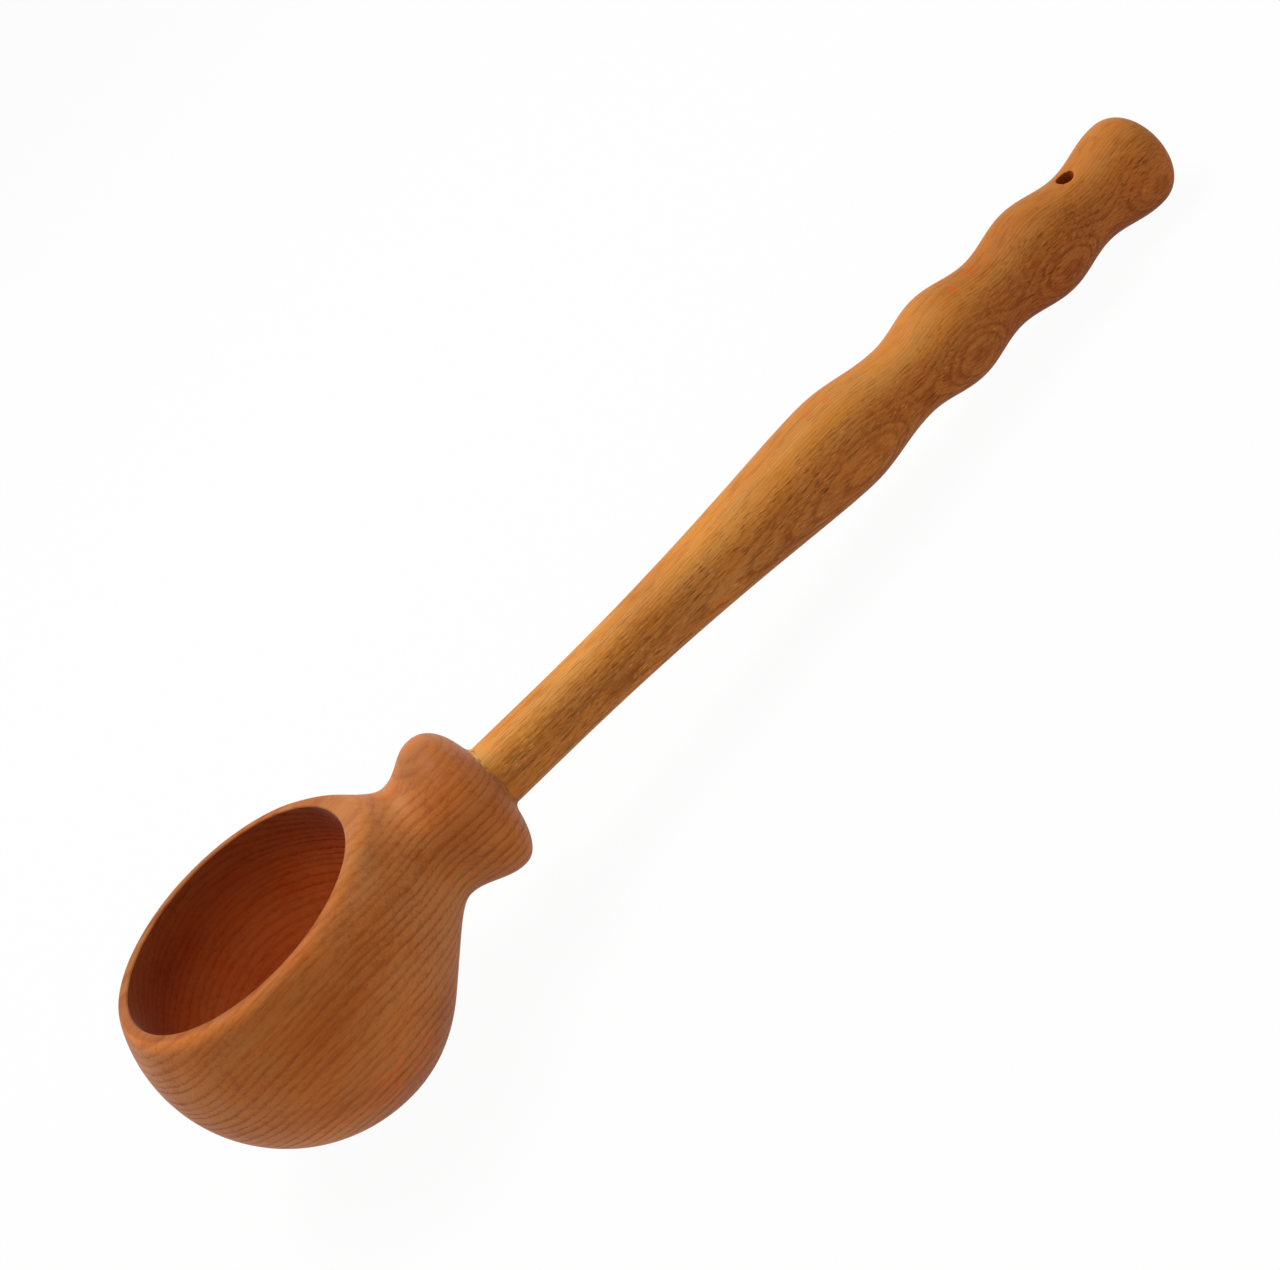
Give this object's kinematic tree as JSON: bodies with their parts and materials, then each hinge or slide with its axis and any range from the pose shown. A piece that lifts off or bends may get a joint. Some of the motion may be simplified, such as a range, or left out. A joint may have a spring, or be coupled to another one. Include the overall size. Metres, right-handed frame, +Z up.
{
  "type": "wooden ladle",
  "caption": "Turned wooden ladle with a deep round bowl, a knobbed neck and a long waisted grip handle glued into the knob, with a hang hole at the tip.",
  "frame": {"origin": "bottom middle of the ladle's box, on the surface that it lies on", "axes": "+X from the bowl towards the handle's tip, +Z up with the opening facing up; the handle slopes down to the tip by 5.5 degrees, so that bowl and last crest both touch the surface"},
  "size_m": [0.3952, 0.0966, 0.0766],
  "materials": {
    "head_wood": "satin oiled beech, reddish, with fine growth lines along the handle's direction",
    "handle_wood": "satin oiled beech, golden, with short dark ray flecks along the handle",
    "dried_glue": "dried wood glue, pale and slightly see-through"
  },
  "bodies": {
    "root": {"bowl_head": "head_wood", "handle": "handle_wood", "glue_film": "dried_glue"}
  },
  "joints": []
}
